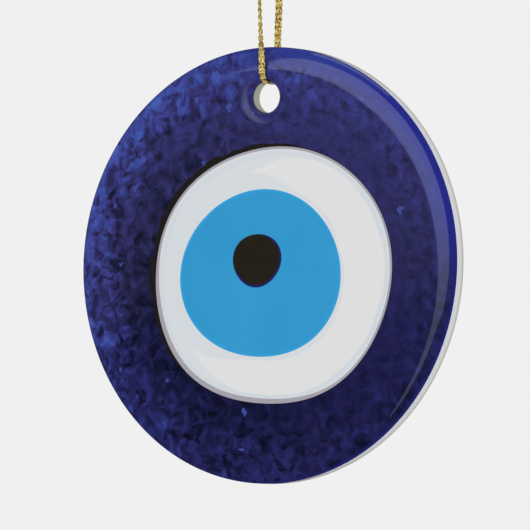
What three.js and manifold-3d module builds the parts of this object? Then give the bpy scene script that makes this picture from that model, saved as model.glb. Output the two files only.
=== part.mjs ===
// Evil eye hanging ornament: a round glazed ceramic disc with an eye printed over its front face and rolled
// front edge, hung by one thin gold cord that passes through a hole near its rim and is knotted into a loop.
// Millimetres, +Z up. The origin is the hanging point, inside the top of the loop just under the knot.
// The printed face looks along -Y, and +X is to its right.
import * as THREE from "three";
import { mergeVertices } from "three/addons/utils/BufferGeometryUtils.js";
import Module from "manifold-3d";

const wasm = await Module();
wasm.setup();

// Disc.
const discDiameter = 73;
const discThickness = 4;
const shoulderWidth = 3.9; // the rolled front edge, measured in from the rim
const shoulderDepth = 1.65; // and back from the front face
const backEdgeRound = 0.4;

// Cord hole through the disc. Its front lip is rolled too.
const holeDiameter = 5.25;
const holeInset = 8.4; // from the rim to the hole's centre
const frontLipWidth = 1.85;
const frontLipDepth = 1.25;
const backLipRound = 1.2;

// Print: one coloured layer that covers the front face, the rolled edge and the front lip of the hole.
const printThickness = 0.1;

// Printed outlines, each drawn a little out of round. A wave is [crests round the outline, height, degrees
// from +X to its first crest], and a centre is [x, z] from the disc's centre.
const pupilOutline = { centre: [-1.2, 0.8], radius: 4.6, waves: [[2, 0.16, 13], [3, 0.1, 27]] };
const irisOutline = { centre: [-0.5, -1.55], radius: 14.85, waves: [[2, 0.85, 1], [3, 0.23, -40]] };
const ringOutline = { centre: [1.8, -1.85], radius: 22.45, waves: [[2, 0.84, 9], [4, 0.22, 41], [5, 0.14, 8]] };

// Cord: a flat braid, drawn as the round tube of the same cross-section.
const cordDiameter = 1;
const cordClearance = 0.1; // between the cord and the top of the hole
const knotHeight = 3.4;
const knotWidth = 3.8;
const knotCentreZ = 2.2;

// The cord's route, stretch by stretch from one cut end to the other. The real cord is one length: each
// stretch is a piece of its own, and stops just short of the next one or of the knot.
const cordRoute = {
  cord_front_tail: [[0.75, -0.5, 4.3], [1.5, -0.9, 6.6], [2.5, -1.1, 9.6]],
  cord_front_top: [[0, -0.77, 0.3], [0, -1.5, -1.5], [0, -2.15, -4.5], [0, -2.65, -9], [0, -3, -15.85]],
  cord_front_leg: [[0, -3.01, -16.15], [-0.05, -3.2, -28], [-0.16, -2.9, -45.5], [-0.03, -2.65, -53.1],
    [0.08, -2.6, -55.9]],
  cord_through_hole: [[0.09, -2.6, -56.2], [0.1, -2.6, -57.2], [0.09, -2.4, -58.49], [0.07, -2.16, -59.05],
    [0.04, -1.8, -59.53], [0.02, -1.15, -59.94], [0, 0, -60], [0, 1.27, -59.94], [0, 1.7, -59.76],
    [0, 2.36, -59.1], [0, 2.54, -58.67], [0, 2.6, -58.1], [0, 2.6, -56.2]],
  cord_back_leg: [[0, 2.6, -55.9], [0, 2.65, -52.8], [0.15, 2.9, -45.3], [0.05, 3.2, -28], [0, 3.01, -16.15]],
  cord_back_top: [[0, 3, -15.85], [0, 2.65, -9], [0, 2.15, -4.5], [0, 1.5, -1.5], [0, 0.77, 0.3]],
  cord_back_tail: [[-0.75, 0.5, 4.3], [-1.5, 1, 6.4], [-2.7, 1.7, 8.8]],
};

// Fineness of the faceted surfaces.
const discSegments = 64;
const holeSegments = 28;
const roundSteps = 5;
const outlinePoints = 72;
const cordSides = 8;
const cordStep = 2.5;
const bendStep = 0.7; // round the tight bend through the hole

const discRadius = discDiameter / 2;
const holeRadius = holeDiameter / 2;
const frontFaceY = -discThickness / 2;
const backFaceY = discThickness / 2;
const holeCentreZ = discRadius - holeInset; // above the disc's centre
const bearingZ = Math.min(...cordRoute.cord_through_hole.map((point) => point[2])); // where the disc hangs
const discCentreZ = bearingZ + cordDiameter / 2 + cordClearance - holeRadius - holeCentreZ;

const porcelain = new THREE.MeshStandardMaterial({ color: 0xf1f0ea, roughness: 0.12, metalness: 0 });
const cobaltInk = new THREE.MeshStandardMaterial({ color: 0x262a63, roughness: 0.1, metalness: 0 });
const whiteInk = new THREE.MeshStandardMaterial({ color: 0xdcdee0, roughness: 0.1, metalness: 0 });
const skyInk = new THREE.MeshStandardMaterial({ color: 0x3498cf, roughness: 0.1, metalness: 0 });
const darkInk = new THREE.MeshStandardMaterial({ color: 0x26221c, roughness: 0.1, metalness: 0 });
const goldCord = new THREE.MeshStandardMaterial({ color: 0xc9a544, roughness: 0.35, metalness: 0.8 });

// A closed geometry as a solid that can be cut.
function solidOf(geometry) {
  const bare = geometry.clone().deleteAttribute("normal").deleteAttribute("uv");
  const merged = mergeVertices(bare, 1e-4);
  return new wasm.Manifold(new wasm.Mesh({
    numProp: 3,
    vertProperties: merged.attributes.position.array,
    triVerts: new Uint32Array(merged.index.array),
  }));
}

function geometryOf(solid) {
  const { vertProperties, triVerts } = solid.getMesh();
  const geometry = new THREE.BufferGeometry();
  geometry.setAttribute("position", new THREE.BufferAttribute(vertProperties, 3));
  geometry.setIndex(new THREE.BufferAttribute(triVerts, 1));
  geometry.computeVertexNormals();
  return geometry;
}

function mesh(name, geometry, material) {
  const piece = new THREE.Mesh(geometry, material);
  piece.name = name;
  return piece;
}

// Points on a quarter ellipse about a centre, from the end on its y axis to the end on its r axis.
function quarterRound(centreR, centreY, halfR, halfY) {
  return Array.from({ length: roundSteps + 1 }, (_, i) => {
    const angle = (i / roundSteps) * (Math.PI / 2);
    return new THREE.Vector2(centreR + halfR * Math.sin(angle), centreY + halfY * Math.cos(angle));
  });
}

// The disc turned about Y. skin is how much of its printed surface is left off.
function turnedDisc(skin) {
  const flatRadius = discRadius - shoulderWidth;
  const wallFrontY = frontFaceY + shoulderDepth;
  const front = quarterRound(flatRadius, wallFrontY, shoulderWidth - skin, skin - shoulderDepth);
  const back = quarterRound(discRadius - backEdgeRound, backFaceY - backEdgeRound, backEdgeRound, backEdgeRound);
  const profile = [new THREE.Vector2(0, frontFaceY + skin), ...front];
  if (skin > 0) profile.push(new THREE.Vector2(discRadius, wallFrontY));
  profile.push(...back.reverse(), new THREE.Vector2(0, backFaceY));
  return solidOf(new THREE.LatheGeometry(profile, discSegments));
}

// The shape that cuts the cord hole, with its rolled lips. skin is how much of the printed lip is left off.
function holeCutter(skin) {
  const past = 1; // beyond both faces
  const lipEndY = frontFaceY + frontLipDepth;
  const frontRadius = holeRadius + frontLipWidth;
  const lip = quarterRound(frontRadius, lipEndY, skin - frontLipWidth, skin - frontLipDepth);
  const back = quarterRound(holeRadius + backLipRound, backFaceY - backLipRound, -backLipRound, backLipRound);
  const profile = [new THREE.Vector2(0, frontFaceY - past), new THREE.Vector2(frontRadius, frontFaceY - past)];
  profile.push(...lip);
  if (skin > 0) profile.push(new THREE.Vector2(holeRadius, lipEndY));
  profile.push(...back.reverse());
  profile.push(new THREE.Vector2(holeRadius + backLipRound, backFaceY + past));
  profile.push(new THREE.Vector2(0, backFaceY + past));
  return solidOf(new THREE.LatheGeometry(profile, holeSegments).translate(0, 0, holeCentreZ));
}

// A block through the disc whose sides follow a printed outline.
function outlineBlock({ centre, radius, waves }) {
  const outline = Array.from({ length: outlinePoints }, (_, i) => {
    const angle = (i / outlinePoints) * 2 * Math.PI;
    let reach = radius;
    for (const [crests, height, firstCrest] of waves) {
      reach += height * Math.cos(crests * (angle - THREE.MathUtils.degToRad(firstCrest)));
    }
    return new THREE.Vector2(centre[0] + reach * Math.cos(angle), centre[1] + reach * Math.sin(angle));
  });
  const depth = 3 * discThickness;
  const block = new THREE.ExtrudeGeometry(new THREE.Shape(outline), { depth, bevelEnabled: false });
  return solidOf(block.translate(0, 0, -depth / 2).rotateX(Math.PI / 2));
}

// The round cord along one stretch of its route.
function cordTube(points, step) {
  const route = new THREE.CatmullRomCurve3(points.map((point) => new THREE.Vector3(...point)));
  const section = new THREE.Shape(Array.from({ length: cordSides }, (_, i) => {
    const angle = ((i + 0.5) / cordSides) * 2 * Math.PI;
    return new THREE.Vector2(Math.cos(angle), Math.sin(angle)).multiplyScalar(cordDiameter / 2);
  }));
  const steps = Math.max(3, Math.round(route.getLength() / step));
  return new THREE.ExtrudeGeometry(section, { steps, extrudePath: route, bevelEnabled: false });
}

function makeDisc() {
  const group = new THREE.Group();
  group.position.z = discCentreZ;
  const finished = turnedDisc(0).subtract(holeCutter(0));
  const bare = turnedDisc(printThickness).subtract(holeCutter(printThickness));
  const print = finished.subtract(bare);
  const [pupil, iris, ring] = [pupilOutline, irisOutline, ringOutline].map(outlineBlock);
  group.add(
    mesh("ceramic_disc", geometryOf(bare), porcelain),
    mesh("cobalt_field_print", geometryOf(print.subtract(ring)), cobaltInk),
    mesh("white_ring_print", geometryOf(print.intersect(ring).subtract(iris)), whiteInk),
    mesh("iris_print", geometryOf(print.intersect(iris).subtract(pupil)), skyInk),
    mesh("pupil_print", geometryOf(print.intersect(pupil)), darkInk),
  );
  return group;
}

function makeCord() {
  const group = new THREE.Group();
  for (const [name, points] of Object.entries(cordRoute)) {
    const step = name === "cord_through_hole" ? bendStep : cordStep;
    group.add(mesh(name, cordTube(points, step), goldCord));
  }
  const knot = new THREE.SphereGeometry(0.5, 20, 12).scale(knotWidth, knotHeight, knotHeight);
  group.add(mesh("cord_knot", knot.translate(0, 0, knotCentreZ), goldCord));
  return group;
}

const ornament = new THREE.Group();
ornament.add(makeDisc(), makeCord());

export default ornament;
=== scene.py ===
import math

import bmesh
import bpy
import numpy as np
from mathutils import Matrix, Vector
from mathutils.geometry import delaunay_2d_cdt


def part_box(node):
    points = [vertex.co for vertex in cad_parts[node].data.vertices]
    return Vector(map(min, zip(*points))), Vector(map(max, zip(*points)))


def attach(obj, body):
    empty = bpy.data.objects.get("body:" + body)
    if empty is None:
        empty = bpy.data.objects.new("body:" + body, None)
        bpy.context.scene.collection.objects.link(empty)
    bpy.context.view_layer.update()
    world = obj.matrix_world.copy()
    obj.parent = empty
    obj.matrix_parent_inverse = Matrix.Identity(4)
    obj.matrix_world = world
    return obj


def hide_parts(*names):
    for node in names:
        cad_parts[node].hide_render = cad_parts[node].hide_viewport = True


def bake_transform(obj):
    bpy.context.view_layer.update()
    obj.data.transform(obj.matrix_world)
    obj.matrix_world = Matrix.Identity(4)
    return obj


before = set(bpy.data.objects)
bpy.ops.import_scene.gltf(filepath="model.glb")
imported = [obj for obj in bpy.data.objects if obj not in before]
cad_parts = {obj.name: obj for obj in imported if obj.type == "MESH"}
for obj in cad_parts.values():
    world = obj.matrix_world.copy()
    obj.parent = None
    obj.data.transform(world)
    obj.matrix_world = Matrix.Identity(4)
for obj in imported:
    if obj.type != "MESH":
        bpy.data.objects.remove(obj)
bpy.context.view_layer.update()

# A round glazed ceramic ornament with a printed eye, on a flat gold braid. Lengths here are millimetres,
# as in the CAD source, and become metres where a mesh is made.
MM = 0.001

disc_low, disc_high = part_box("ceramic_disc")
DISC_Z = (disc_low.z + disc_high.z) / 2 / MM
DISC_RADIUS = (disc_high.x - disc_low.x) / 2 / MM
FRONT_Y = -2.0
BACK_Y = disc_high.y / MM
SHOULDER_WIDTH = 3.9
SHOULDER_DEPTH = 1.65
BACK_ROUND = 0.4
HOLE_RADIUS = 2.625
HOLE_Z = 28.1  # the hole's centre, above the disc's
LIP_WIDTH = 1.85
LIP_DEPTH = 1.25
BACK_LIP = 1.2
SKIN = 0.1  # the printed layer

# Printed outlines, as in the CAD: waves are (crests, height, degrees to the first crest).
PUPIL = {"centre": (-1.2, 0.8), "radius": 4.6, "waves": ((2, 0.16, 13), (3, 0.1, 27))}
IRIS = {"centre": (-0.5, -1.55), "radius": 14.85, "waves": ((2, 0.85, 1), (3, 0.23, -40))}
RING = {"centre": (1.8, -1.85), "radius": 22.45, "waves": ((2, 0.84, 9), (4, 0.22, 41), (5, 0.14, 8))}

# ---------------------------------------------------------------- camera, light and stage

AZIMUTH = math.radians(31.4)
ELEVATION = math.radians(-2.65)
CAMERA_DISTANCE = 1.5
LENS = 609.9
AIM_RIGHT = -0.735
AIM_UP = 0.05
PANEL_DISTANCE = 1.1
FLOOR_HALF = 12.0
FLOOR_Z = -0.24


def direction(azimuth, elevation):
    """Unit vector from the object towards that azimuth and elevation, in radians."""
    return Vector((math.sin(azimuth) * math.cos(elevation), -math.cos(azimuth) * math.cos(elevation),
                   math.sin(elevation)))


def look_at(thing, target):
    thing.rotation_euler = (Vector(target) - thing.location).to_track_quat("-Z", "Y").to_euler()


def make_camera():
    back = direction(AZIMUTH, ELEVATION)
    right = Vector((math.cos(AZIMUTH), math.sin(AZIMUTH), 0))
    up = back.cross(right)
    aim = Vector((0, 0, DISC_Z * MM)) + (right * AIM_RIGHT + up * AIM_UP) * MM
    camera = bpy.data.objects.new("camera", bpy.data.cameras.new("camera"))
    camera.data.lens = LENS
    camera.data.sensor_width = 36
    camera.data.clip_start = 0.05
    camera.data.clip_end = 60
    camera.location = aim + back * CAMERA_DISTANCE
    look_at(camera, aim)
    bpy.context.scene.collection.objects.link(camera)
    bpy.context.scene.camera = camera


def glow(name, colour, strength, low_strength=None, low_z=0, high_z=1):
    """A light-giving material; with low_strength it dims from the height high_z down to low_z."""
    material = bpy.data.materials.new(name)
    material.use_nodes = True
    tree = material.node_tree
    tree.nodes.clear()
    output = tree.nodes.new("ShaderNodeOutputMaterial")
    emission = tree.nodes.new("ShaderNodeEmission")
    emission.inputs["Color"].default_value = (*colour, 1.0)
    emission.inputs["Strength"].default_value = strength
    tree.links.new(emission.outputs[0], output.inputs[0])
    if low_strength is not None:
        position = tree.nodes.new("ShaderNodeNewGeometry")
        split = tree.nodes.new("ShaderNodeSeparateXYZ")
        span = tree.nodes.new("ShaderNodeMapRange")
        span.inputs["From Min"].default_value = low_z
        span.inputs["From Max"].default_value = high_z
        span.inputs["To Min"].default_value = low_strength
        span.inputs["To Max"].default_value = strength
        tree.links.new(position.outputs["Position"], split.inputs[0])
        tree.links.new(split.outputs["Z"], span.inputs["Value"])
        tree.links.new(span.outputs[0], emission.inputs["Strength"])
    return material


def light_panel(name, corners, distance, material):
    """A soft box: a panel on a sphere about the disc. Its corners are (azimuth, elevation) in degrees."""
    centre = Vector((0, 0, DISC_Z * MM))
    points = [centre + direction(math.radians(a), math.radians(e)) * distance for a, e in corners]
    mesh = bpy.data.meshes.new(name)
    mesh.from_pydata(points, [], [tuple(range(len(points)))])
    mesh.materials.append(material)
    panel = bpy.data.objects.new(name, mesh)
    panel.visible_camera = False
    panel.visible_shadow = False
    bpy.context.scene.collection.objects.link(panel)


def make_stage():
    world = bpy.data.worlds.new("studio")
    world.use_nodes = True
    world.node_tree.nodes["Background"].inputs["Color"].default_value = (0.871, 0.871, 0.871, 1)
    world.node_tree.nodes["Background"].inputs["Strength"].default_value = 1.0
    bpy.context.scene.world = world
    world.cycles_visibility.glossy = False
    bpy.context.scene.view_settings.view_transform = "Standard"

    floor_mesh = bpy.data.meshes.new("floor")
    corners = [(x * FLOOR_HALF, y * FLOOR_HALF, FLOOR_Z) for x, y in ((-1, -1), (1, -1), (1, 1), (-1, 1))]
    floor_mesh.from_pydata(corners, [], [(0, 1, 2, 3)])
    floor_material = bpy.data.materials.new("pale_floor")
    floor_material.use_nodes = True
    shader = floor_material.node_tree.nodes["Principled BSDF"]
    shader.inputs["Base Color"].default_value = (0.93, 0.93, 0.93, 1)
    shader.inputs["Roughness"].default_value = 0.9
    shader.inputs["Specular IOR Level"].default_value = 0.1
    floor_mesh.materials.append(floor_material)
    floor = bpy.data.objects.new("floor", floor_mesh)
    floor.visible_glossy = False
    bpy.context.scene.collection.objects.link(floor)

    key = glow("key_light", (0.88, 0.95, 1.12), 1.6, 1.0, DISC_Z * MM - 0.1, DISC_Z * MM + 0.25)
    light_panel("key_panel", ((-32.3, 7), (-22, 8), (-14, 3), (-9, -3), (-6, -12), (-3, -22), (0, -31),
                              (3, -31), (4, -20), (9, -10), (19, -10), (25, 2), (28, 18), (24, 34), (10, 44),
                              (-11, 45), (-28, 38), (-32.3, 30)), PANEL_DISTANCE, key)
    top = glow("top_light", (1.0, 1.0, 1.0), 1.1)
    light_panel("top_panel", ((-45, 68), (45, 68), (135, 68), (225, 68)), PANEL_DISTANCE, top)


make_camera()
make_stage()

# ---------------------------------------------------------------- node materials


def srgb(red, green, blue):
    """A colour given as screen levels, as the shader wants it."""
    def linear(level):
        level = level / 255
        return level / 12.92 if level <= 0.04045 else ((level + 0.055) / 1.055) ** 2.4
    return (linear(red), linear(green), linear(blue))


class Surface:
    """A node material under construction. Every value may be a number or another node's output."""

    def __init__(self, name):
        self.material = bpy.data.materials.new(name)
        self.material.use_nodes = True
        self.tree = self.material.node_tree
        self.shader = self.tree.nodes["Principled BSDF"]

    def feed(self, socket, value):
        if isinstance(value, bpy.types.NodeSocket):
            self.tree.links.new(value, socket)
        else:
            socket.default_value = value

    def set(self, **values):
        for name, value in values.items():
            if not isinstance(value, (float, int, bpy.types.NodeSocket)):
                value = (*value, 1.0)
            self.feed(self.shader.inputs[name.replace("_", " ")], value)

    def maths(self, operation, *values):
        node = self.tree.nodes.new("ShaderNodeMath")
        node.operation = operation
        for socket, value in zip(node.inputs, values):
            self.feed(socket, value)
        return node.outputs[0]

    def add(self, a, b):
        return self.maths("ADD", a, b)

    def sub(self, a, b):
        return self.maths("SUBTRACT", a, b)

    def mul(self, a, b):
        return self.maths("MULTIPLY", a, b)

    def split(self, vector):
        node = self.tree.nodes.new("ShaderNodeSeparateXYZ")
        self.feed(node.inputs[0], vector)
        return node.outputs

    def join(self, x, y, z):
        node = self.tree.nodes.new("ShaderNodeCombineXYZ")
        for socket, value in zip(node.inputs, (x, y, z)):
            self.feed(socket, value)
        return node.outputs[0]

    def span(self, value, start, end, low=0.0, high=1.0, smooth=True):
        """value from start..end to low..high, kept inside it."""
        node = self.tree.nodes.new("ShaderNodeMapRange")
        node.interpolation_type = "SMOOTHSTEP" if smooth else "LINEAR"
        for socket, number in zip(node.inputs, (value, start, end, low, high)):
            self.feed(socket, number)
        return node.outputs[0]

    def steps(self, noise, count):
        """A noise cut into flat levels, about count of them, centred on nought."""
        return self.add(self.maths("FLOOR", self.mul(self.sub(noise, 0.5), count)), 0.5)

    def noise(self, vector, scale, detail=2.0, roughness=0.5, distortion=0.0):
        node = self.tree.nodes.new("ShaderNodeTexNoise")
        self.feed(node.inputs["Vector"], vector)
        node.inputs["Scale"].default_value = scale
        node.inputs["Detail"].default_value = detail
        node.inputs["Roughness"].default_value = roughness
        node.inputs["Distortion"].default_value = distortion
        return node.outputs["Fac"]

    def bent(self, vector, scale, amount):
        """The vector moved about smoothly, by up to about half of amount each way."""
        noise = self.tree.nodes.new("ShaderNodeTexNoise")
        self.feed(noise.inputs["Vector"], vector)
        noise.inputs["Scale"].default_value = scale
        noise.inputs["Detail"].default_value = 1.0
        centred = self.tree.nodes.new("ShaderNodeVectorMath")
        centred.operation = "MULTIPLY_ADD"
        centred.inputs[1].default_value = (amount, 0, amount)
        centred.inputs[2].default_value = (-amount / 2, 0, -amount / 2)
        self.feed(centred.inputs[0], noise.outputs["Color"])
        moved = self.tree.nodes.new("ShaderNodeVectorMath")
        self.feed(moved.inputs[0], vector)
        self.feed(moved.inputs[1], centred.outputs[0])
        return moved.outputs[0]

    def cells(self, vector, scale, output="Distance"):
        node = self.tree.nodes.new("ShaderNodeTexVoronoi")
        self.feed(node.inputs["Vector"], vector)
        node.inputs["Scale"].default_value = scale
        return node.outputs[output]

    def ramp(self, value, stops, steps=False):
        """stops are (place, colour); with steps the colour jumps at each place."""
        node = self.tree.nodes.new("ShaderNodeValToRGB")
        node.color_ramp.interpolation = "CONSTANT" if steps else "LINEAR"
        elements = node.color_ramp.elements
        while len(elements) < len(stops):
            elements.new(0.5)
        for element, (place, colour) in zip(elements, stops):
            element.position = place
            element.color = (*colour, 1.0)
        self.feed(node.inputs[0], value)
        return node.outputs[0]

    def mix(self, share, first, second, blend="MIX"):
        node = self.tree.nodes.new("ShaderNodeMix")
        node.data_type = "RGBA"
        node.blend_type = blend
        for socket, value in zip([s for s in node.inputs if s.enabled], (share, first, second)):
            if isinstance(value, tuple):
                value = (*value, 1.0)
            self.feed(socket, value)
        return [s for s in node.outputs if s.enabled][0]

    def bump(self, height, strength, distance):
        node = self.tree.nodes.new("ShaderNodeBump")
        node.inputs["Strength"].default_value = strength
        node.inputs["Distance"].default_value = distance
        self.feed(node.inputs["Height"], height)
        self.feed(self.shader.inputs["Normal"], node.outputs[0])

    def place(self):
        """The point on the object, in millimetres from the disc's centre."""
        node = self.tree.nodes.new("ShaderNodeTexCoord")
        scaled = self.tree.nodes.new("ShaderNodeMapping")
        scaled.inputs["Location"].default_value = (0, 0, -DISC_Z)
        scaled.inputs["Scale"].default_value = (1 / MM, 1 / MM, 1 / MM)
        self.feed(scaled.inputs["Vector"], node.outputs["Object"])
        return scaled.outputs[0]

    def polar(self, x, z):
        """Reach and angle of a point."""
        reach = self.maths("SQRT", self.add(self.mul(x, x), self.mul(z, z)))
        return reach, self.maths("ARCTAN2", z, x)

    def past(self, outline, x, z):
        """How far a point lies outside a printed outline, in millimetres."""
        reach, angle = self.polar(self.sub(x, outline["centre"][0]), self.sub(z, outline["centre"][1]))
        edge = outline["radius"]
        for crests, height, first in outline["waves"]:
            wave = self.maths("COSINE", self.mul(self.sub(angle, math.radians(first)), crests))
            edge = self.add(edge, self.mul(wave, height))
        return self.sub(reach, edge), angle

    def toward(self, angle, degrees):
        """1 in that direction round the disc, -1 opposite."""
        return self.maths("COSINE", self.sub(angle, math.radians(degrees)))


LIT = (0.95, 0.985, 1.04)  # how bright a white surface on the front comes out in this light


def ink(red, green, blue):
    """The print colour that comes out as those screen levels."""
    return tuple(c / lit for c, lit in zip(srgb(red, green, blue), LIT))


def glaze(surface, place):
    """The clear glaze over print and porcelain: glossy, with the faint unevenness of a fired surface."""
    fine = surface.noise(place, 1.7, 2.0)
    x, _, z = surface.split(place)
    hole_reach, _ = surface.polar(x, surface.sub(z, HOLE_Z))
    pooled = surface.span(hole_reach, HOLE_RADIUS + LIP_WIDTH + 0.3, HOLE_RADIUS + LIP_WIDTH - 0.2, 0.0, 0.15)
    surface.set(Roughness=surface.add(surface.span(fine, 0.3, 0.7, 0.045, 0.085), pooled), IOR=1.5)
    swell = surface.noise(place, 0.16, 1.0)
    surface.bump(swell, 0.25, 0.00008)


def porcelain_material():
    surface = Surface("white_porcelain")
    place = surface.place()
    x, y, z = surface.split(place)
    cloud = surface.noise(place, 0.09, 3.0, 0.6)
    specks = surface.noise(place, 3.2, 1.0)
    white = surface.ramp(cloud, ((0.3, (0.77, 0.775, 0.80)), (0.7, (0.81, 0.815, 0.85))))
    # Painted shade: the back edge, turned away from the light, is painted beige-grey; the hole's wall is
    # painted the same beige-grey.
    reach, _ = surface.polar(x, z)
    edge_shade_and_hole_beige = surface.mul(surface.span(reach, 35.9, 36.2), surface.span(y, 0.75, 1.5))
    hole_reach, _ = surface.polar(x, surface.sub(z, HOLE_Z))
    edge_shade_and_hole_beige = surface.maths("MAXIMUM", edge_shade_and_hole_beige, surface.span(hole_reach, 3.1, 2.75))
    white = surface.mix(edge_shade_and_hole_beige, white, (0.60, 0.59, 0.50))
    speck = surface.span(specks, 0.72, 0.76, 0.0, 0.35)
    surface.set(Base_Color=surface.mix(speck, white, (0.62, 0.61, 0.58)))
    glaze(surface, place)
    return surface.material


def cobalt_material():
    surface = Surface("mottled_cobalt_print")
    place = surface.place()
    x, _, z = surface.split(place)
    flat = surface.join(x, 0.0, z)
    reach, angle = surface.polar(x, z)
    # Tone from near black beside the white ring to cobalt at the rim, lightest at the upper left.
    # Partly the print's own gradient and partly a painted sheen: the haze of light reflected off the glaze.
    inner = surface.add(1.3, surface.mul(surface.toward(angle, 60), 0.75))
    outer = surface.add(2.65, surface.mul(surface.toward(angle, 130), 1.5))
    outward = surface.maths("POWER", surface.span(reach, 23.5, 35.5, 0, 1, smooth=False), 1.6)
    tone_and_sheen = surface.add(inner, surface.mul(surface.sub(outer, inner), outward))
    # Blotches: flat patches a step apart, with small chips and thin curls, weaker at the right and
    # beside the ring.
    spread = surface.add(4.2, surface.mul(surface.toward(angle, 165), 2.2))
    spread = surface.mul(spread, surface.span(reach, 25.0, 33.0, 0.5, 1.0))
    broad = surface.noise(surface.bent(flat, 0.3, 4.5), 0.55, 0.0)
    chip_place = surface.bent(surface.join(x, 40.0, z), 0.5, 2.8)
    chips, _, _ = surface.split(surface.cells(chip_place, 0.78, output="Color"))
    curls = surface.noise(surface.join(x, 140.0, z), 0.62, 0.0, 0.5, 0.8)
    broken = surface.noise(surface.join(x, 170.0, z), 0.7, 0.0)
    patches = surface.mul(surface.steps(broad, 6.0), 0.155)
    patches = surface.add(patches, surface.mul(surface.maths("GREATER_THAN", chips, 0.80), 0.17))
    patches = surface.add(patches, surface.mul(surface.maths("LESS_THAN", chips, 0.22), -0.19))
    curl = surface.mul(surface.maths("COMPARE", curls, 0.5, 0.03), surface.maths("GREATER_THAN", broken, 0.6))
    patches = surface.add(patches, surface.mul(curl, 0.14))
    share = surface.maths("DIVIDE", surface.add(surface.add(tone_and_sheen, surface.mul(patches, spread)), 0.5), 8.0)
    # The halves take different colours: a vertical gradient, partly print and partly the same painted sheen.
    upper = surface.ramp(share, (
        (0.0, ink(16, 18, 30)),
        (0.125, ink(27, 29, 57)),
        (0.1875, ink(34, 35, 68)),
        (0.25, ink(41, 41, 81)),
        (0.3125, ink(47, 47, 96)),
        (0.375, ink(52, 52, 108)),
        (0.4375, ink(55, 58, 122)),
        (0.5, ink(57, 65, 136)),
        (0.5625, ink(60, 72, 148)),
        (0.6875, ink(65, 80, 161)),
        (0.875, ink(72, 95, 178)),
    ))
    lower = surface.ramp(share, (
        (0.0, ink(10, 12, 32)),
        (0.125, ink(20, 23, 52)),
        (0.1875, ink(28, 29, 71)),
        (0.25, ink(35, 35, 82)),
        (0.3125, ink(38, 41, 96)),
        (0.375, ink(40, 44, 104)),
        (0.4375, ink(44, 50, 118)),
        (0.5, ink(50, 60, 134)),
        (0.5625, ink(56, 70, 148)),
        (0.6875, ink(64, 86, 168)),
        (0.875, ink(78, 110, 195)),
    ))
    cobalt = surface.mix(surface.span(surface.toward(angle, 95), -0.5, 0.0), lower, upper)
    # Patches that lean to purple or to teal.
    lean = surface.noise(surface.join(x, 25.0, z), 0.42, 1.0, 0.5, 1.0)
    purple = surface.span(lean, 0.55, 0.56, 0.0, 0.35)
    cobalt = surface.mix(purple, cobalt, surface.mix(1.0, cobalt, (1.18, 0.88, 0.94), "MULTIPLY"))
    teal = surface.span(lean, 0.42, 0.41, 0.0, 0.2)
    cobalt = surface.mix(teal, cobalt, surface.mix(1.0, cobalt, (0.82, 1.2, 1.0), "MULTIPLY"))
    # A few lone bright flecks, bent into dashes and commas.
    fleck_place = surface.bent(surface.join(x, 11.0, z), 0.9, 2.4)
    fleck_near = surface.cells(fleck_place, 0.2)
    fleck = surface.mul(surface.span(fleck_near, 0.105, 0.095), surface.span(reach, 34.0, 33.5))
    cobalt = surface.mix(surface.mul(fleck, 0.8), cobalt, ink(70, 84, 164))
    # The rolled edge is plainer and deeper, most of all at the right.
    right = surface.span(surface.toward(angle, 48), 0.5, 0.88)
    plain = surface.mul(surface.span(reach, 32.9, 33.9, 0.0, 0.7), right)
    cobalt = surface.mix(plain, cobalt, ink(46, 52, 138))
    rim_start = surface.sub(36.0, surface.mul(right, 1.3))
    top = surface.span(surface.toward(angle, 105), 0.5, 0.9)
    rim_share = surface.sub(0.85, surface.mul(top, 0.25))
    rim = surface.span(surface.sub(reach, rim_start), 0.0, 0.4, 0.0, rim_share)
    deep = surface.mix(top, ink(36, 42, 138), ink(47, 62, 148))
    cobalt = surface.mix(rim, cobalt, surface.mix(right, ink(34, 38, 112), deep))
    # Painted shade: a darker ring painted round the hole's rolled lip.
    hole_reach, _ = surface.polar(x, surface.sub(z, HOLE_Z))
    lip = surface.span(hole_reach, HOLE_RADIUS + LIP_WIDTH + 0.5, HOLE_RADIUS + LIP_WIDTH - 0.3, 0.0, 0.35)
    cobalt = surface.mix(lip, cobalt, ink(42, 43, 118))
    # The near-black crescent beside the ring, at its upper left.
    beyond, ring_angle = surface.past(RING, x, z)
    thick = surface.mul(surface.span(surface.toward(ring_angle, 150), 0.0, 1.0), 0.95)
    ragged = surface.mul(surface.sub(surface.noise(surface.join(x, 60.0, z), 0.3, 1.0), 0.5), 1.5)
    thick = surface.add(surface.add(0.1, thick), surface.mul(thick, ragged))
    shade = surface.span(surface.sub(beyond, thick), 0.04, -0.04)
    cobalt = surface.mix(shade, cobalt, ink(34, 31, 27))
    surface.set(Base_Color=cobalt)
    glaze(surface, place)
    return surface.material


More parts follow.
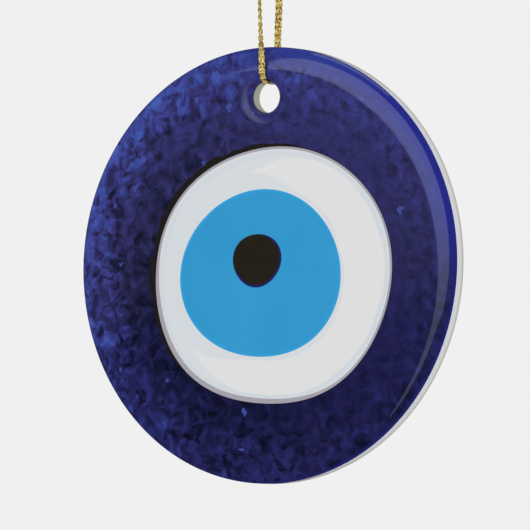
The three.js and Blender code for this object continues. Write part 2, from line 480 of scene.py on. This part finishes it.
def ring_material():
    surface = Surface("off_white_print")
    place = surface.place()
    x, _, z = surface.split(place)
    flat = surface.join(x, 0.0, z)
    beyond, angle = surface.past(RING, x, z)
    drift = surface.sub(surface.noise(flat, 0.1, 1.0), 0.5)
    wavy = surface.add(beyond, surface.mul(drift, 1.2))
    white = surface.ramp(surface.span(wavy, -8.0, 0.0, 0, 1, smooth=False), (
        (0.0, ink(215, 221, 224)),
        (0.80, ink(211, 218, 222)),
        (0.90, ink(216, 221, 223)),
    ), steps=True)
    # A warmer crescent round the right, whose ends taper at the top and at the lower left.
    taper = surface.span(surface.toward(angle, -19), -0.62, 0.0)
    outer_side = surface.sub(surface.sub(-1.5, surface.mul(surface.sub(1.0, taper), 2.2)), wavy)
    iris_gap, _ = surface.past(IRIS, x, z)
    inner_side = surface.sub(surface.add(iris_gap, surface.mul(drift, 1.2)),
                             surface.sub(2.9, surface.mul(taper, 2.1)))
    warm = surface.mul(surface.span(outer_side, -0.05, 0.05), surface.span(inner_side, -0.05, 0.05))
    white = surface.mix(surface.mul(warm, 0.9), white, ink(227, 227, 227))
    # A mauve-grey line along the outer edge, broad at the lower left, with a pale line inside it.
    lower_left = surface.span(surface.toward(angle, 235), 0.2, 0.95)
    line_in = surface.add(-0.42, surface.mul(lower_left, -0.42))
    line = surface.span(surface.sub(beyond, line_in), -0.03, 0.03)
    white = surface.mix(line, white, ink(167, 164, 174))
    surface.set(Base_Color=white)
    glaze(surface, place)
    return surface.material


def iris_material():
    surface = Surface("light_blue_print")
    place = surface.place()
    x, _, z = surface.split(place)
    beyond, _ = surface.past(IRIS, x, z)
    cloud = surface.noise(surface.join(x, 0.0, z), 0.1, 2.0)
    blue = surface.ramp(cloud, ((0.35, ink(51, 151, 204)), (0.65, ink(56, 155, 207))))
    edge = surface.span(beyond, -0.5, -0.42)
    surface.set(Base_Color=surface.mix(edge, blue, ink(50, 160, 215)))
    glaze(surface, place)
    return surface.material


def pupil_material():
    surface = Surface("near_black_print")
    place = surface.place()
    x, _, z = surface.split(place)
    beyond, angle = surface.past(PUPIL, x, z)
    cloud = surface.noise(surface.join(x, 0.0, z), 0.35, 2.0)
    dark = surface.ramp(cloud, ((0.35, ink(36, 32, 25)), (0.65, ink(40, 36, 28))))
    lower_right = surface.span(surface.toward(angle, -45), -0.5, -0.1)
    edge = surface.mul(surface.span(beyond, -0.42, -0.34), lower_right)
    surface.set(Base_Color=surface.mix(edge, dark, ink(36, 33, 98)))
    glaze(surface, place)
    return surface.material


def gold_material():
    """Metallic thread. The mesh's UV runs round each strand and along it, in turns and millimetres."""
    surface = Surface("gold_thread")
    uv = surface.tree.nodes.new("ShaderNodeUVMap")
    uv.uv_map = "strand"
    around, along, _ = surface.split(uv.outputs[0])
    lay = surface.add(surface.mul(around, 9.0), surface.mul(along, 1.6))
    fibre = surface.maths("SINE", surface.mul(lay, 2 * math.pi))
    patch = surface.noise(surface.join(surface.mul(around, 2.0), surface.mul(along, 1.1), 0.0), 2.0, 1.0, 0.6)
    height = surface.add(surface.mul(fibre, 0.6), surface.mul(patch, 0.8))
    # Painted light: the ramp paints random near-white glints and dark shaded patches into the thread's
    # colour.
    gold = surface.ramp(patch, (
        (0.39, (0.16, 0.08, 0.005)),
        (0.45, (0.56, 0.34, 0.03)),
        (0.51, (0.98, 0.71, 0.12)),
        (0.57, (1.0, 0.90, 0.38)),
    ))
    # Painted shade: the strands are painted darker towards their sides, where they dive under each other, and
    # in the grooves between fibres.
    side = surface.maths("ABSOLUTE", surface.maths("COSINE", surface.mul(around, 2 * math.pi)))
    side_shade = surface.span(side, 0.8, 1.0, 0.0, 0.5)
    dark = surface.maths("MAXIMUM", side_shade, surface.span(fibre, -1.0, -0.4, 0.2, 0.0))
    surface.set(
        Base_Color=surface.mix(dark, gold, (0.25, 0.13, 0.02)),
        Metallic=0.25,
        Roughness=surface.span(patch, 0.3, 0.7, 0.42, 0.24),
    )
    surface.bump(height, 0.5, 0.00003)
    return surface.material


# ---------------------------------------------------------------- cord

# The cord's whole route from one cut end to the other, as in the CAD, stretch by stretch. Between its tops
# and its tails each end passes through the knot.
ROUTE = {
    "front_tail": ((2.5, -1.1, 9.6), (1.5, -0.9, 6.6), (0.75, -0.5, 4.3)),
    "front_top": ((0, -0.77, 0.3), (0, -1.5, -1.5), (0, -2.15, -4.5), (0, -2.65, -9), (0, -3, -15.85)),
    "front_leg": ((0, -3.01, -16.15), (-0.05, -3.2, -28), (-0.16, -2.9, -45.5), (-0.03, -2.65, -53.1),
                  (0.08, -2.6, -55.9)),
    "through_hole": ((0.09, -2.6, -56.2), (0.1, -2.6, -57.2), (0.09, -2.4, -58.49), (0.07, -2.16, -59.05),
                     (0.04, -1.8, -59.53), (0.02, -1.15, -59.94), (0, 0, -60), (0, 1.27, -59.94),
                     (0, 1.7, -59.76), (0, 2.36, -59.1), (0, 2.54, -58.67), (0, 2.6, -58.1), (0, 2.6, -56.2)),
    "back_leg": ((0, 2.6, -55.9), (0, 2.65, -52.8), (0.15, 2.9, -45.3), (0.05, 3.2, -28), (0, 3.01, -16.15)),
    "back_top": ((0, 3, -15.85), (0, 2.65, -9), (0, 2.15, -4.5), (0, 1.5, -1.5), (0, 0.77, 0.3)),
    "back_tail": ((-0.75, 0.5, 4.3), (-1.5, 1, 6.4), (-2.7, 1.7, 8.8)),
}
# The overhand knot that both ends make together, from its foot to its head.
KNOT = ((-0.2, 0.0, 0.9), (-0.42, -0.25, 1.6), (-0.35, -0.55, 2.5), (0.15, -0.6, 3.25), (0.9, -0.35, 3.0),
        (1.15, 0.15, 2.2), (0.5, 0.7, 1.45), (-0.5, 0.75, 1.35), (-1.2, 0.15, 1.9), (-0.75, -0.85, 2.5),
        (0.1, -0.75, 2.45), (0.45, 0.25, 2.9), (0.2, 0.3, 3.75))
KNOT_SPACING = 0.3  # of each cord in the knot from the line between them
PLAIT_PITCH = 3.45
STRAND_REACH = 0.375  # how far a strand swings across the braid
STRAND_RISE = 0.13  # and over and under its neighbours
STRAND_HALF_WIDTH = 0.25
STRAND_HALF_THICKNESS = 0.15
HOLE_BEND = 2.3  # how near the bearing point the braid is pressed together
# The shares that it loses there, so that it clears the hole's wall when the disc turns on it.
REACH_SQUEEZE = 0.2
RISE_SQUEEZE = 0.5
WIDTH_SQUEEZE = 0.15
THICKNESS_SQUEEZE = 0.25
FRAY_LENGTH = 1.4
FRAY = 0.7  # how much wider the cut ends are
SAMPLE = 0.12
STRAND_SIDES = 10
LIFT = 0.38  # the braid is pressed flat on the top of the hole, a little above the CAD cord


def smooth_route(points, step):
    """Even samples along a smooth curve through the points."""
    points = np.array(points, float)
    padded = np.vstack([2 * points[0] - points[1], points, 2 * points[-1] - points[-2]])
    fine = []
    for a, b, c, d in zip(padded, padded[1:], padded[2:], padded[3:]):
        # Centripetal Catmull-Rom, as in the CAD.
        gaps = [max(np.linalg.norm(q - p), 1e-6) ** 0.5 for p, q in ((a, b), (b, c), (c, d))]
        knots = np.cumsum([0] + gaps)
        for t in np.linspace(knots[1], knots[2], 40, endpoint=False):
            ab = (knots[1] - t) / (knots[1] - knots[0]) * a + (t - knots[0]) / (knots[1] - knots[0]) * b
            bc = (knots[2] - t) / (knots[2] - knots[1]) * b + (t - knots[1]) / (knots[2] - knots[1]) * c
            cd = (knots[3] - t) / (knots[3] - knots[2]) * c + (t - knots[2]) / (knots[3] - knots[2]) * d
            abc = (knots[2] - t) / (knots[2] - knots[0]) * ab + (t - knots[0]) / (knots[2] - knots[0]) * bc
            bcd = (knots[3] - t) / (knots[3] - knots[1]) * bc + (t - knots[1]) / (knots[3] - knots[1]) * cd
            fine.append((knots[2] - t) / (knots[2] - knots[1]) * abc
                        + (t - knots[1]) / (knots[2] - knots[1]) * bcd)
    fine.append(points[-1])
    fine = np.array(fine)
    run = np.concatenate([[0], np.cumsum(np.linalg.norm(np.diff(fine, axis=0), axis=1))])
    count = max(4, int(round(run[-1] / step)))
    even = np.linspace(0, run[-1], count + 1)
    return np.stack([np.interp(even, run, fine[:, k]) for k in range(3)], 1), even


def unit(vectors):
    return vectors / np.linalg.norm(vectors, axis=-1, keepdims=True)


def carried_frames(centres, first_width, start):
    """Tangents, width and face directions, carried without twist both ways from the sample start."""
    tangents = unit(np.gradient(centres, axis=0))
    widths = np.zeros_like(centres)
    for steps in (range(start, len(centres)), range(start, -1, -1)):
        width = np.array(first_width, float)
        for i in steps:
            width = unit(width - width.dot(tangents[i]) * tangents[i])
            widths[i] = width
    return tangents, widths, np.cross(tangents, widths)


def knot_strand(side):
    """One cord's way through the knot, foot to head, beside the other cord's."""
    centres, _ = smooth_route(KNOT, 0.5)
    _, _, faces = carried_frames(centres, (1, 0, 0), 0)
    # At the foot the cord climbs, so its face looks along +Y.
    return [tuple(point) for point in centres + side * KNOT_SPACING * faces][1:-1:2]


def whole_route():
    """The points of the whole cord, and the name of the stretch that begins at each."""
    points, starts = [], []
    stretches = [
        ("front_tail", ROUTE["front_tail"]),
        ("front_knot", knot_strand(-1)[::-1]),
        ("front_top", ROUTE["front_top"]),
        ("loop", ROUTE["front_leg"] + ROUTE["through_hole"] + ROUTE["back_leg"]),
        ("back_top", ROUTE["back_top"]),
        ("back_knot", knot_strand(1)),
        ("back_tail", ROUTE["back_tail"]),
    ]
    for name, stretch in stretches:
        starts.append((name, len(points)))
        points.extend(stretch)
    return points, starts


# Depth below the hanging point, and the braid's turn there.
TWIST = {
    "front": ((10, 30, 45.5, 53, 57, 59.5), (0, 20, 58, 28, -16, 0)),
    "back": ((10, 30, 45.5, 53, 58, 59.5), (0, 12, 31, 16, 0, 0)),
}


def twist_at(centre, climbing):
    """How far the braid is turned about its run, in degrees: its legs hang with a slow twist."""
    heights, turns = TWIST["back" if climbing else "front"]
    return np.interp(-centre[2], heights, turns)


def plait(name, centres, run, tangents, widths, faces, cut_start=False, cut_end=False):
    """A mesh of three flat metallic strands plaited together along the given samples."""
    vertices, polygons, turns, lengths = [], [], [], []
    in_hole = np.exp(-(np.linalg.norm(centres - np.array((0, 0, -60)), axis=1) / HOLE_BEND) ** 2)
    centres = centres + in_hole[:, None] * np.array((0, 0, LIFT))
    for strand in range(3):
        phase = 2 * math.pi * (run / PLAIT_PITCH + strand / 3)
        loosen = np.ones(len(run))
        if cut_start:
            loosen += FRAY * np.clip(1 - (run - run[0]) / FRAY_LENGTH, 0, 1) ** 2
        if cut_end:
            loosen += FRAY * np.clip(1 - (run[-1] - run) / FRAY_LENGTH, 0, 1) ** 2
        across = STRAND_REACH * (1 - REACH_SQUEEZE * in_hole) * np.sin(phase) * loosen
        depth = STRAND_RISE * (1 - RISE_SQUEEZE * in_hole) * np.sin(2 * phase) * loosen
        line = centres + across[:, None] * widths + depth[:, None] * faces
        ahead = unit(np.gradient(line, axis=0))
        first = unit(widths - (widths * ahead).sum(1, keepdims=True) * ahead)
        second = np.cross(ahead, first)
        base = len(vertices)
        for i in range(len(run)):
            half_width = STRAND_HALF_WIDTH * (1 - WIDTH_SQUEEZE * in_hole[i])
            half_depth = STRAND_HALF_THICKNESS * (1 - THICKNESS_SQUEEZE * in_hole[i])
            for side in range(STRAND_SIDES):
                angle = 2 * math.pi * side / STRAND_SIDES
                vertices.append(line[i] + half_width * math.cos(angle) * first[i]
                                + half_depth * math.sin(angle) * second[i])
        for i in range(len(run) - 1):
            for side in range(STRAND_SIDES):
                after = (side + 1) % STRAND_SIDES
                low, high = base + i * STRAND_SIDES, base + (i + 1) * STRAND_SIDES
                polygons.append((low + side, low + after, high + after, high + side))
                turns.extend((side, side + 1, side + 1, side))
                lengths.extend((run[i], run[i], run[i + 1], run[i + 1]))
        for ring, order in ((0, -1), (len(run) - 1, 1)):
            cap = tuple(range(base + ring * STRAND_SIDES, base + (ring + 1) * STRAND_SIDES))[::order]
            polygons.append(cap)
            turns.extend([0] * STRAND_SIDES)
            lengths.extend([run[ring]] * STRAND_SIDES)
    mesh = bpy.data.meshes.new(name)
    mesh.from_pydata([Vector(v) * MM for v in vertices], [], polygons)
    layer = mesh.uv_layers.new(name="strand")
    layer.data.foreach_set("uv", np.stack([np.array(turns) / STRAND_SIDES, np.array(lengths)], 1)
                           .astype(np.float32).ravel())
    mesh.shade_smooth()
    mesh.set_sharp_from_angle(angle=math.radians(60))
    mesh.materials.append(gold)
    piece = bpy.data.objects.new(name, mesh)
    bpy.context.scene.collection.objects.link(piece)
    return piece


def joined(name, *parts):
    """The parts as one piece."""
    mesh = bmesh.new()
    for part in parts:
        mesh.from_mesh(part.data)
    merged = bpy.data.meshes.new(name)
    mesh.to_mesh(merged)
    mesh.free()
    merged.materials.append(parts[0].data.materials[0])
    for part in parts:
        bpy.data.objects.remove(part)
    piece = bpy.data.objects.new(name, merged)
    bpy.context.scene.collection.objects.link(piece)
    return piece


def make_cord():
    points, starts = whole_route()
    centres, run = smooth_route(points, SAMPLE)
    lowest = int(np.argmin(centres[:, 2]))
    tangents, widths, faces = carried_frames(centres, (1, 0, 0), lowest)
    for i, centre in enumerate(centres):
        if centre[2] < 0:
            turn = math.radians(twist_at(centre, i > lowest))
            widths[i] = math.cos(turn) * widths[i] + math.sin(turn) * faces[i]
            faces[i] = np.cross(tangents[i], widths[i])
    # The sample nearest to where each stretch begins, moving along the cord.
    bounds, found = [], 0
    for _, index in starts:
        window = np.linalg.norm(centres[found:] - np.array(points[index]), axis=1)
        near = np.flatnonzero(window < window.min() + 0.02)[0]
        found += int(near)
        bounds.append(found)
    bounds[0] = 0
    bounds.append(len(centres) - 1)
    made = {}
    for (name, _), first, last in zip(starts, bounds, bounds[1:]):
        part = slice(first, last + 1)
        made[name] = plait("gold_" + name, centres[part], run[part], tangents[part], widths[part],
                           faces[part], cut_start=name == "front_tail", cut_end=name == "back_tail")
    knot = joined("gold_knot", made.pop("front_knot"), made.pop("back_knot"))
    for piece, node in ((knot, "cord_knot"), (made["front_tail"], "cord_front_tail"),
                        (made["back_tail"], "cord_back_tail")):
        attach(piece, "hanger")
        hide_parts(node)
    for piece, node in ((made["front_top"], "cord_front_top"), (made["back_top"], "cord_back_top")):
        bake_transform(piece)
        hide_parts(node)
    loop = made["loop"]
    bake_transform(loop)
    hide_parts("cord_front_leg", "cord_through_hole", "cord_back_leg")


gold = gold_material()
make_cord()

# ---------------------------------------------------------------- disc and print

RIM_SEGMENTS = 384
LIP_SEGMENTS = 128
ROUND_STEPS = 18
OUTLINE_POINTS = 288
BACK_STEPS = 8
BACK_LIP_STEPS = 12
GAP = 0.004  # between the print's underside and the porcelain
FLAT_INSET = 0.004  # of the loops that keep the flat face flat, from the rolled edges
WALL_LOOP = 0.05  # loops this near a rolled edge keep the walls and the back flat
EDGE_LOOP = 0.06


def circle(radius, count, centre=(0.0, 0.0)):
    return [(centre[0] + radius * math.cos(2 * math.pi * i / count),
             centre[1] + radius * math.sin(2 * math.pi * i / count)) for i in range(count)]


def outline(shape):
    found = []
    for i in range(OUTLINE_POINTS):
        angle = 2 * math.pi * i / OUTLINE_POINTS
        reach = shape["radius"] + sum(height * math.cos(crests * (angle - math.radians(first)))
                                      for crests, height, first in shape["waves"])
        x, z = shape["centre"]
        found.append((x + reach * math.cos(angle), z + reach * math.sin(angle)))
    return found


class Shape:
    """A mesh under construction, in millimetres from the disc's centre."""

    def __init__(self):
        self.points = []
        self.faces = []

    def loop(self, flat, y):
        start = len(self.points)
        self.points.extend((x, y, z) for x, z in flat)
        return list(range(start, start + len(flat)))

    def strip(self, outer, inner):
        """Quads between two loops of as many points, the outer one first."""
        count = len(outer)
        for i in range(count):
            after = (i + 1) % count
            self.faces.append((outer[i], outer[after], inner[after], inner[i]))

    def fill(self, outer, holes, flip=False):
        """Triangles inside the outer loop and outside the holes, all of them flat."""
        used = outer + [i for hole in holes for i in hole]
        flat = [Vector((self.points[i][0], self.points[i][2])) for i in used]
        rings, start = [], 0
        for ring in (outer, *holes):
            rings.append(list(range(start, start + len(ring))))
            start += len(ring)
        edges = [(ring[i], ring[(i + 1) % len(ring)]) for ring in rings for i in range(len(ring))]
        _, _, triangles, originals, _, _ = delaunay_2d_cdt(flat, edges, rings[:1], 0, 1e-7)
        hole_shapes = [np.array([flat[i] for i in ring]) for ring in rings[1:]]
        outer_shape = np.array([flat[i] for i in rings[0]])
        for triangle in triangles:
            own = [used[originals[i][0]] for i in triangle]
            middle = np.mean([(self.points[i][0], self.points[i][2]) for i in own], axis=0)
            if not inside(middle, outer_shape) or any(inside(middle, shape) for shape in hole_shapes):
                continue
            a, b, c = (np.array((self.points[i][0], self.points[i][2])) for i in own)
            turn = (b[0] - a[0]) * (c[1] - a[1]) - (b[1] - a[1]) * (c[0] - a[0])
            if (turn < 0) != flip:
                own.reverse()
            self.faces.append(tuple(own))


def inside(point, polygon):
    """Whether a flat point lies inside a closed polygon."""
    x, y = point
    ax, ay = polygon[:, 0], polygon[:, 1]
    bx, by = np.roll(ax, -1), np.roll(ay, -1)
    crosses = (ay > y) != (by > y)
    at = ax + (y - ay) / np.where(by == ay, 1e-12, by - ay) * (bx - ax)
    return bool(np.count_nonzero(crosses & (x < at)) % 2)


def make_piece(name, points, faces, material, node):
    mesh = bpy.data.meshes.new(name)
    mesh.from_pydata([(x * MM, y * MM, (z + DISC_Z) * MM) for x, y, z in points], [], faces)
    mesh.validate()
    mesh.shade_smooth()
    mesh.set_sharp_from_angle(angle=math.radians(35))
    mesh.materials.append(material)
    piece = bpy.data.objects.new(name, mesh)
    bpy.context.scene.collection.objects.link(piece)
    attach(piece, "disc")
    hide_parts(node)


def thick_piece(name, top, under, material, node):
    """A closed film: the top's faces, the same faces on its underside, and walls along its open edges."""
    count = len(top.points)
    faces = list(top.faces)
    faces += [tuple(i + count for i in reversed(face)) for face in top.faces]
    sides = {}
    for face in top.faces:
        for a, b in zip(face, face[1:] + face[:1]):
            sides[(a, b)] = True
    for a, b in sides:
        if (b, a) not in sides:
            faces.append((b, a, a + count, b + count))
    make_piece(name, top.points + under, faces, material, node)


def quarter(step):
    """Across and back shares of a rolled edge, from flat to upright."""
    angle = step / ROUND_STEPS * math.pi / 2
    return math.sin(angle), 1 - math.cos(angle)


def shoulder_loop(step, skin=0.0):
    across, back = quarter(step)
    radius = DISC_RADIUS - SHOULDER_WIDTH + (SHOULDER_WIDTH - skin) * across
    return circle(radius, RIM_SEGMENTS), FRONT_Y + skin + (SHOULDER_DEPTH - skin) * back


def lip_loop(step, skin=0.0):
    across, back = quarter(step)
    radius = HOLE_RADIUS + LIP_WIDTH - (LIP_WIDTH - skin) * across
    return circle(radius, LIP_SEGMENTS, (0, HOLE_Z)), FRONT_Y + skin + (LIP_DEPTH - skin) * back


def make_disc():
    shape = Shape()
    skin = SKIN + GAP
    shoulder = [shape.loop(*shoulder_loop(step, skin)) for step in range(ROUND_STEPS + 1)]
    lip = [shape.loop(*lip_loop(step, skin)) for step in range(ROUND_STEPS + 1)]
    shape.fill(shoulder[0], [lip[0]])
    for inner, outer in zip(shoulder, shoulder[1:]):
        shape.strip(outer, inner)
    for outer, inner in zip(lip, lip[1:]):
        shape.strip(outer, inner)
    # Wall and rolled back edge.
    ring_y = FRONT_Y + SHOULDER_DEPTH
    last = shoulder[-1]
    profile = [(DISC_RADIUS, ring_y), (DISC_RADIUS, ring_y + EDGE_LOOP),
               (DISC_RADIUS, BACK_Y - BACK_ROUND - WALL_LOOP)]
    for step in range(BACK_STEPS + 1):
        angle = step / BACK_STEPS * math.pi / 2
        profile.append((DISC_RADIUS - BACK_ROUND * (1 - math.cos(angle)),
                        BACK_Y - BACK_ROUND * (1 - math.sin(angle))))
    profile.append((DISC_RADIUS - BACK_ROUND - EDGE_LOOP, BACK_Y))
    for radius, y in profile:
        ring = shape.loop(circle(radius, RIM_SEGMENTS), y)
        shape.strip(ring, last)
        last = ring
    back_edge = last
    # Hole wall and its rolled back lip.
    last = lip[-1]
    lip_y = FRONT_Y + LIP_DEPTH
    profile = [(HOLE_RADIUS, lip_y), (HOLE_RADIUS, lip_y + EDGE_LOOP),
               (HOLE_RADIUS, BACK_Y - BACK_LIP - WALL_LOOP)]
    for step in range(BACK_LIP_STEPS + 1):
        angle = step / BACK_LIP_STEPS * math.pi / 2
        profile.append((HOLE_RADIUS + BACK_LIP * (1 - math.cos(angle)),
                        BACK_Y - BACK_LIP * (1 - math.sin(angle))))
    profile.append((HOLE_RADIUS + BACK_LIP + EDGE_LOOP, BACK_Y))
    for radius, y in profile:
        ring = shape.loop(circle(radius, LIP_SEGMENTS, (0, HOLE_Z)), y)
        shape.strip(last, ring)
        last = ring
    shape.fill(back_edge, [last], flip=True)
    make_piece("porcelain_disc", shape.points, shape.faces, porcelain_material(), "ceramic_disc")


def make_field_print():
    top = Shape()
    under = []
    # Loops a little inside the rolled edges keep the flat face flat.
    flat_edge = top.loop(circle(DISC_RADIUS - SHOULDER_WIDTH - FLAT_INSET, RIM_SEGMENTS), FRONT_Y)
    lip_radius = HOLE_RADIUS + LIP_WIDTH + FLAT_INSET
    flat_lip = top.loop(circle(lip_radius, LIP_SEGMENTS, (0, HOLE_Z)), FRONT_Y)
    eye = top.loop(outline(RING), FRONT_Y)
    under += [(x, y + SKIN, z) for x, y, z in top.points]
    top.fill(flat_edge, [flat_lip, eye])
    last = flat_edge
    for step in range(ROUND_STEPS + 1):
        ring = top.loop(*shoulder_loop(step))
        flat, y = shoulder_loop(step, SKIN)
        under += [(x, y, z) for x, z in flat]
        top.strip(ring, last)
        last = ring
    last = flat_lip
    for step in range(ROUND_STEPS + 1):
        ring = top.loop(*lip_loop(step))
        flat, y = lip_loop(step, SKIN)
        under += [(x, y, z) for x, z in flat]
        top.strip(last, ring)
        last = ring
    thick_piece("cobalt_field", top, under, cobalt_material(), "cobalt_field_print")


def make_flat_print(name, outer, inner, material, node):
    top = Shape()
    edge = top.loop(outline(outer), FRONT_Y)
    holes = [top.loop(outline(inner), FRONT_Y)] if inner else []
    top.fill(edge, holes)
    under = [(x, y + SKIN, z) for x, y, z in top.points]
    thick_piece(name, top, under, material, node)


make_disc()
make_field_print()
make_flat_print("white_ring", RING, IRIS, ring_material(), "white_ring_print")
make_flat_print("light_blue_iris", IRIS, PUPIL, iris_material(), "iris_print")
make_flat_print("dark_pupil", PUPIL, None, pupil_material(), "pupil_print")
